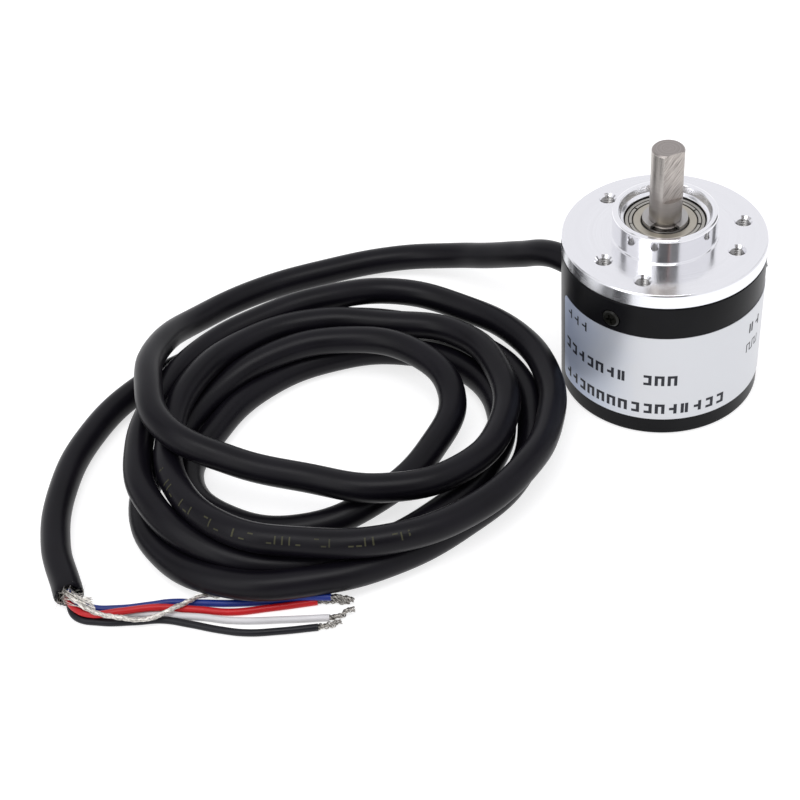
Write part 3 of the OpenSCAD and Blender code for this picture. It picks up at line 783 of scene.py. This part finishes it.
def make_label():
    """A thin band round the case with rounded corners, in columns from its left end to its right."""
    corner, levels = 1.2, 6
    span = math.radians(LABEL_AZ[1] - LABEL_AZ[0]) * LABEL_R
    low, high = LABEL_Z
    stations = [corner * (1 - math.cos(math.radians(9 * k))) for k in range(11)]
    middle = [corner + (span - 2 * corner) * k / 150 for k in range(1, 150)]
    stations = stations + middle + [span - s for s in reversed(stations)]
    shape = bmesh.new()
    columns = []
    for s in stations:
        inset = min(s, span - s)
        drop = corner - math.sqrt(max(corner ** 2 - (corner - inset) ** 2, 0)) if inset < corner else 0.0
        az = LABEL_AZ[0] + math.degrees(s / LABEL_R)
        heights = [low + drop + (high - low - 2 * drop) * k / levels for k in range(levels + 1)]
        columns.append([
            [shape.verts.new(polar(r, az, z) * MM) for z in heights] for r in (LABEL_R, CASE_R + 0.005)
        ])
    for (outer_a, inner_a), (outer_b, inner_b) in zip(columns, columns[1:]):
        for k in range(levels):
            shape.faces.new((outer_a[k], outer_b[k], outer_b[k + 1], outer_a[k + 1]))
            shape.faces.new((inner_a[k], inner_a[k + 1], inner_b[k + 1], inner_b[k]))
        shape.faces.new((outer_a[0], inner_a[0], inner_b[0], outer_b[0]))
        shape.faces.new((outer_a[-1], outer_b[-1], inner_b[-1], inner_a[-1]))
    for outer, inner in (columns[0], columns[-1]):
        for k in range(levels):
            shape.faces.new((outer[k], outer[k + 1], inner[k + 1], inner[k]))
    label = finish_mesh("foil_label", shape, [FOIL])
    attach(label, "root")
    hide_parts("rating_label")


def add_stroke(shape, az, z, width, height):
    """One printed stroke, centred at az and z; width runs round the case."""
    half = math.degrees(width / 2 / LABEL_R)
    columns = max(2, int(math.degrees(width / LABEL_R) / 2) + 1)
    turns = [az - half + 2 * half * k / columns for k in range(columns + 1)]
    rows = [
        [shape.verts.new(polar(INK_R, turn, z + end * height) * MM) for turn in turns] for end in (-0.5, 0.5)
    ]
    for k in range(columns):
        shape.faces.new((rows[0][k], rows[0][k + 1], rows[1][k + 1], rows[1][k]))


def make_print():
    """Generic tally marks in the places of the label's printed rows, and a square-wave mark."""
    shape = bmesh.new()
    rng = random.Random(11)
    for start, end, z, height, pen in MARK_ROWS:
        rise = (height - pen) / 2
        kinds = [
            [(0.6, 0, pen, height), (4.2, 0, pen, height), (2.4, rise, 0.9, pen)],
            [(4.2, 0, pen, height), (2.1, rise, 1.0, pen), (2.1, -rise, 1.0, pen)],
            [(0.9, 0, pen, height), (3.3, 0, pen, height)],
            [(3.9, 0, pen, height), (1.9, 0, 0.95, pen)],
        ]
        az = start
        while az < end - 2:
            for turn, lift, width, tall in kinds[rng.randrange(4)]:
                add_stroke(shape, az + turn, z + lift, width, tall)
            az += MARK_PITCH
    wave_z, wave_h, line = 14.8, 2.0, 0.28
    for k, az in enumerate((-44, -41, -38, -35, -32)):
        add_stroke(shape, az, wave_z, line, wave_h)
        level = wave_z + (wave_h - line) / 2 * (1 if k % 2 == 0 else -1)
        if k < 4:
            add_stroke(shape, az + 1.5, level, 1.0 + line, line)
    ink = finish_mesh("label_print", shape, [INK])
    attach(ink, "root")


# ---------------------------------------------------------------- flange


def thread_profile():
    """Profile that cuts a tapped hole with its thread and a small countersink."""
    pitch, depth, root_r, crest_r = 0.5, 6.5, 1.5, 1.25
    bottom = FLANGE_TOP - depth
    profile = [(0, bottom)]
    for k in range(int(depth / pitch) - 1):
        profile.append((crest_r, bottom + 0.3 + k * pitch))
        profile.append((root_r, bottom + 0.3 + (k + 0.5) * pitch))
    return profile + [
        (crest_r, FLANGE_TOP - 0.47), (1.72, FLANGE_TOP), (1.9, FLANGE_TOP + 0.15), (0, FLANGE_TOP + 0.15),
    ]


def make_flange():
    foot, top = FLANGE_TOP, BOSS_TOP
    outline = [
        (6.3, PLUG_BOTTOM), (17.45, PLUG_BOTTOM), (17.45, CASE_TOP), (CASE_R - 0.2, CASE_TOP),
        (CASE_R, CASE_TOP + 0.2), (CASE_R, foot - 0.25), (CASE_R - 0.25, foot),
        (BOSS_R + 0.32, foot), (BOSS_R + 0.30, foot + 0.14), (BOSS_R + 0.05, foot + 0.18),
        (BOSS_R, foot + 0.25), (BOSS_R, top - 0.38), (BOSS_R - 0.10, top - 0.16), (BOSS_R - 0.38, top),
        (8.66, top), (8.52, top - 0.14), (8.12, top - 1.42), (7.98, top - 1.5), (7.62, top - 1.74),
        (7.54, top - 1.9), (7.54, top - 2.9), (BEARING_R, top - 3.0), (BEARING_R, BEARING_TOP - BEARING_W),
        (6.3, BEARING_TOP - BEARING_W),
    ]
    flange = lathe("flange", soften(outline, 0.06), [FLANGE, BOSS, THREAD_PAINTED_SHADE, PAINTED_SHADE_GAP, FLANGE_SIDE], 256)
    low, high = PLUG_BOTTOM - 1, BEARING_TOP - 8
    rear = [(0, low), (BEARING_R, low), (BEARING_R, high), (0, high)]
    cutters = [lathe("rear_pocket", rear, [FLANGE], 96)]
    centres = [polar(at, az) * MM for az, at in HOLES]
    for centre in centres:
        hole = lathe("threaded_hole", thread_profile(), [THREAD_PAINTED_SHADE], 48, smooth_deg=20)
        hole.data.transform(Matrix.Translation(centre))
        cutters.append(hole)
    rim_hole = [(0, 13.5), (1, 13.5), (1, 18.5), (0, 18.5)]
    for az in RIM_SCREW_AZ:
        cutters.append(lathe("rim_hole", rim_hole, [THREAD_PAINTED_SHADE], 32, az, RIM_SCREW_Z))
    cut(flange, cutters, 25)
    paint_flange(flange, centres)
    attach(flange, "root")
    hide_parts("flange_body")


def paint_flange(flange, centres):
    """Gives each face its slot: 0 flange, 1 boss, 2 thread in dark grey painted shade, 3 bearing's seat in
    near-black painted shade, 4 side.
    """
    for face in flange.data.polygons:
        middle = face.center
        near_hole = min((Vector((middle.x, middle.y, 0)) - c).length for c in centres) < 1.74 * MM
        reach = math.hypot(middle.x, middle.y)
        # Thread faces take the dark grey painted shade.
        if near_hole and (FLANGE_TOP - 7) * MM < middle.z < (FLANGE_TOP - 0.42) * MM:
            face.material_index = 2
        # The bearing seat's bore takes the near-black painted shade.
        elif reach < 7.6 * MM and middle.z < (BOSS_TOP - 1.9) * MM:
            face.material_index = 3
        elif reach > (CASE_R - 0.15) * MM and abs(face.normal.z) < 0.5:
            face.material_index = 4
        elif 8.6 * MM < reach < (BOSS_R + 0.35) * MM and middle.z > (FLANGE_TOP - 1) * MM:
            face.material_index = 1
        else:
            face.material_index = 0


# ---------------------------------------------------------------- shaft and front bearing


def make_shaft():
    top = SHAFT_TIP
    groove = BEARING_TOP
    outline = [
        (0, SHAFT_FOOT), (2.7, SHAFT_FOOT), (SHAFT_R, SHAFT_FOOT + 0.3), (SHAFT_R, groove), (2.82, groove),
        (2.82, groove + 0.7), (SHAFT_R, groove + 0.7), (SHAFT_R, top - 0.3), (2.72, top), (0.5, top),
        (0.0, top - 0.12),
    ]
    shaft = lathe("encoder_shaft", soften(outline, 0.07), [SHAFT_ROUND, SHAFT_FLAT, SHAFT_END], 128)
    turn = Matrix.Rotation(math.radians(SHAFT_FLAT_AZ), 4, "Z")
    foot = top - SHAFT_FLAT_LENGTH
    flat = box_cutter("flat", (SHAFT_FLAT_REACH, -5, foot), (8, 5, top + 1), turn, [SHAFT_FLAT])
    cut(shaft, [flat], 25)
    facing = polar(1, SHAFT_FLAT_AZ)
    for face in shaft.data.polygons:
        on_flat = face.normal.dot(facing) > 0.999 and face.center.dot(facing) < (SHAFT_FLAT_REACH + 0.02) * MM
        if on_flat and face.center.z > foot * MM:
            face.material_index = 1
        elif face.center.z > (top - 0.2) * MM and face.normal.z > 0.5:
            face.material_index = 2
        else:
            face.material_index = 0
    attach(shaft, "rotor")
    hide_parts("shaft")


def make_bearing():
    top, low = BEARING_TOP, BEARING_TOP - BEARING_W
    outer = [
        (6.1, low + 0.5), (6.4, low + 0.5), (6.4, low), (7.2, low), (BEARING_R, low + 0.3),
        (BEARING_R, top - 1), (7.46, top - 0.9), (7.46, top - 0.16), (7.28, top), (6.8, top),
        (6.72, top - 0.08), (6.72, top - 0.5), (6.1, top - 0.5),
    ]
    ring = lathe("bearing_outer_ring", soften(outer, 0.09), [RING_STEEL], 192)
    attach(ring, "root")
    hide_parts("front_outer_ring")

    inner = [
        (SHAFT_R, low), (4.1, low), (4.3, low + 0.2), (4.3, top - 0.22), (4.1, top), (3.75, top - 0.02),
        (3.6, top - 0.12), (3.25, top - 0.12), (SHAFT_R, top - 0.2),
    ]
    race = lathe("bearing_inner_ring", soften(inner, 0.07), [DARK_STEEL], 192)
    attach(race, "rotor")
    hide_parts("front_inner_ring")

    face = top - 0.1
    plate = [
        (4.42, face - 0.25), (5.8, face - 0.25), (5.84, face - 0.48), (6.7, face - 0.48), (6.7, face - 0.38),
        (5.98, face - 0.38), (5.86, face - 0.1), (5.72, face), (4.56, face), (4.42, face - 0.06),
    ]
    shield = lathe("bearing_shield", soften(plate, 0.05), [SHIELD, PAINTED_SHADE_GAP], 192)
    # The shield's outer lip down in the groove takes the near-black painted shade.
    for part in shield.data.polygons:
        part.material_index = int(math.hypot(part.center.x, part.center.y) > 5.88 * MM)
    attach(shield, "root")
    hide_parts("front_shields")

    wire = [(6.04, top - 0.42), (6.58, top - 0.42), (6.58, top - 0.08), (6.04, top - 0.1)]
    arcs = [(-177, -23), (-19, 17.5), (20.5, 136.5), (139.5, 181)]
    snap = arc_ring("shield_snap_ring", wire, [RING_STEEL], arcs)
    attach(snap, "root")
    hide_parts("front_shields")

    band = [(2.88, top + 0.02), (4.2, top + 0.02), (4.2, top + 0.66), (2.88, top + 0.66)]
    clip = arc_ring("shaft_clip", band, [CLIP], [(-62, 220)])
    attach(clip, "rotor")
    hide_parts("front_retaining_ring")


def arc_ring(name, section, materials, arcs):
    """Ring segments of one cross-section, each from one azimuth to the next."""
    shape = bmesh.new()
    outline = soften(section, 0.07, 4)
    for start, end in arcs:
        steps = max(4, int((end - start) / 2))
        rings = [
            [shape.verts.new(polar(r, start + (end - start) * k / steps, z) * MM) for r, z in outline]
            for k in range(steps + 1)
        ]
        join_rings(shape, rings)
        cap_rings(shape, rings)
    return finish_mesh(name, shape, materials)


# ---------------------------------------------------------------- cable and cores


def make_grommet():
    outline = [
        (2.5, 15.5), (3.4, 15.5), (3.8, 15.9), (3.8, 17.05), (2.9, 17.1), (2.9, 18.7), (3.2, 18.75),
        (3.2, 20.2), (2.9, GROMMET_FACE), (2.5, GROMMET_FACE),
    ]
    grommet = lathe("grommet", soften(outline, 0.12), [RUBBER], 96, CABLE_AZ, CABLE_Z)
    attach(grommet, "root")
    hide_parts("cable_grommet")


def cut_end_frame():
    """The middle of the cable's cut end, its heading, and two directions across it."""
    cut_end = Vector(CABLE[-1])
    heading = (cut_end - Vector(CABLE[-2])).normalized()
    side = heading.cross(Vector((0, 0, 1))).normalized()
    return cut_end, heading, side, side.cross(heading)


def make_cable():
    cut_end, heading, side, up = cut_end_frame()
    lip, sides = 1.6, 48
    cable = cord_curve("cable", CABLE[:-1] + [tuple(cut_end - heading * lip)], CABLE_R, JACKET)
    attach(cable, "root")
    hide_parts("cable_lead", "cable_turn_1", "cable_turn_2", "cable_turn_3", "cable_turn_4",
                "cable_turn_5", "cable_tail")

    rng = random.Random(5)
    shape = bmesh.new()
    turns = [2 * math.pi * k / sides for k in range(sides)]
    ragged = [rng.uniform(-0.25, 0.3) + 0.35 * math.sin(turn * 2 + 1) for turn in turns]
    # Radius, place along the lip, and how ragged, from the outside round the edge to the inside
    steps = [
        (CABLE_R, -0.4, 0), (CABLE_R, 0.3, 0), (CABLE_R * 0.995, 0.8, 0.5), (CABLE_R * 0.97, 1.0, 1),
        (CABLE_R * 0.78, 1.0, 1), (CABLE_R * 0.72, 0.6, 0.5), (CABLE_R * 0.72, -0.3, 0),
    ]
    rings = []
    for radius, along, rough_part in steps:
        ring = []
        for turn, rough in zip(turns, ragged):
            reach = along * lip + rough * rough_part * 0.5
            point = cut_end + heading * (reach - lip) + outward(side, up, turn) * radius
            ring.append(shape.verts.new(point * MM))
        rings.append(ring)
    join_rings(shape, rings)
    mouth = finish_mesh("jacket_cut_end", shape, [JACKET], 40)
    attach(mouth, "root")
    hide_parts("cable_tail")

    tuple(Vector(CABLE[0]) * MM)
    path_length(CABLE) * MM
    make_cable_print()


def make_cable_print():
    """Faint generic dashes along one stretch of the jacket."""
    path = curve_points(TURN_2[:6], 30)
    along = lengths_along(path)
    rng = random.Random(4)
    shape = bmesh.new()
    margin, facing = 9.0, math.radians(42)
    at = margin
    while at < along[-1] - margin:
        for _ in range(rng.choice((3, 4, 5))):
            wide, tall = rng.choice(((0.28, 1.5), (0.28, 1.5), (0.9, 0.28), (0.9, 0.28)))
            lift = rng.choice((-0.6, 0.6)) if tall < 0.5 else 0.0
            corners = []
            for place_at in (at, at + wide):
                k = next(n for n, reach in enumerate(along) if reach > place_at)
                part = (place_at - along[k - 1]) / (along[k] - along[k - 1])
                centre = path[k - 1].lerp(path[k], part)
                ahead = (path[k] - path[k - 1]).normalized()
                side = ahead.cross(Vector((0, 0, 1))).normalized()
                up = side.cross(ahead)
                row = []
                for step in range(5):
                    turn = facing + (lift + tall * (step / 4 - 0.5)) / CABLE_R
                    out = outward(up, side, turn)
                    row.append(shape.verts.new((centre + out * (CABLE_R + 0.012)) * MM))
                corners.append(row)
            near, far = corners
            for step in range(4):
                shape.faces.new((near[step], far[step], far[step + 1], near[step + 1]))
            at += 1.3
        at += 2.0
    dashes = finish_mesh("cable_print", shape, [PRINT])
    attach(dashes, "root")
    return dashes


def path_length(points):
    """Length in mm of the smooth curve through the points."""
    return lengths_along(curve_points(points, 12))[-1]


def make_cores():
    rng = random.Random(21)
    for colour, route in CORES.items():
        core = cord_curve(f"core_{colour}", route, CORE_R, CORE_PAINT[colour])
        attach(core, "root")
        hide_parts(f"wire_{colour}")
        shape = bmesh.new()
        root = Vector(TIPS[colour][0]) * 1.15 - Vector(TIPS[colour][1]) * 0.15
        line = curve_points([tuple(root)] + TIPS[colour][1:], 12)
        for strand in twisted(line, 7, 0.36, 2.6, 0.4, rng):
            add_tube(shape, strand, 0.14, 6, rng.uniform(0.5, 0.9))
        tip = finish_mesh(f"tip_{colour}", shape, [TINNED], 60)
        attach(tip, "root")
        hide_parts("wire_tips")
        tuple(Vector(CABLE[-1]) * MM)
        path_length(route) * MM


def make_drain():
    rng = random.Random(8)
    path = curve_points(DRAIN, 10)
    shape = bmesh.new()
    for strand in twisted(path, 9, 0.28, 4.5, 0.3, rng):
        add_tube(shape, strand, 0.13, 6)
    for strand in twisted(path, 6, 0.36, 6.0, 0.3, rng, 1.3):
        add_tube(shape, strand, 0.07, 5)
    drain = finish_mesh("shield_drain_wire", shape, [BRAID], 60)
    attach(drain, "root")
    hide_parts("shield_drain")
    tuft = make_tuft(rng)
    tuple(Vector(CABLE[-1]) * MM)
    path_length(DRAIN) * MM


def make_tuft(rng):
    """The braided shield at the jacket's mouth: even strands stray, odd ones gather into the drain."""
    cut_end, heading, side, up = cut_end_frame()
    shape = bmesh.new()
    gathered = Vector(DRAIN[3])
    for number in range(60):
        turn, radius = rng.uniform(0, 2 * math.pi), rng.uniform(0.8, 1.9)
        out = outward(side, up, turn)
        start = cut_end - heading * 0.8 + out * radius
        drift = Vector([rng.uniform(-1, 1) for _ in range(3)])
        if number % 2 == 0:
            middle = start + heading * rng.uniform(1.0, 2.2) + out * rng.uniform(-0.2, 0.9)
            end, thick = middle + heading * rng.uniform(-1.4, 1.0) + drift * 1.6, 0.04
        else:
            middle = cut_end + heading * rng.uniform(0.2, 1.2)
            middle = middle + out * radius * rng.uniform(0.6, 1.0) + up * 0.7
            end, thick = gathered + drift * 0.35 - heading * rng.uniform(0.0, 3.6), 0.07
        for point in (middle, end):
            point.z = min(max(point.z, 0.15), 5.2)
        add_tube(shape, curve_points([tuple(start), tuple(middle), tuple(end)], 6), thick, 5, 0.7)
    tuft = finish_mesh("shield_tuft", shape, [BRAID], 60)
    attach(tuft, "root")
    return tuft


# ---------------------------------------------------------------- pieces that keep their CAD shape

CAD_PAINT = {
    "rear_outer_ring": RING_STEEL, "rear_inner_ring": DARK_STEEL, "front_balls": BALL, "rear_balls": BALL,
    "front_cage": CAGE, "rear_cage": CAGE, "rear_shields": SHIELD, "bearing_spacer": INNER_ALUMINIUM,
    "wave_washer": CLIP, "rear_retaining_ring": CLIP, "disc_hub": INNER_ALUMINIUM, "grub_screw": SCREW,
    "code_disc": DISC, "disc_clamp": INNER_ALUMINIUM, "led_holder": INNER_BLACK, "led_emitter": LED,
    "reticle": GLASS, "sensor_block": INNER_BLACK, "photosensor": CHIP, "circuit_board": BOARD,
    "board_standoffs": BRASS, "board_screws": CLIP, "board_parts": INNER_BLACK, "solder_header": HEADER,
    "cable_tie": NYLON, "cable_entry": JACKET, "inner_cores": CORE_PAINT["red"],
}


def paint_cad():
    for node, paint in CAD_PAINT.items():
        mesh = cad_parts[node].data
        mesh.materials.clear()
        mesh.materials.append(paint)


make_camera()
make_light()
make_floor()
make_cable()
make_cores()
make_drain()
make_case()
make_rim_screws()
make_label()
make_print()
make_flange()
make_shaft()
make_bearing()
make_grommet()
paint_cad()

scene = bpy.context.scene
scene.view_settings.view_transform = "Standard"
scene.view_settings.look = "None"
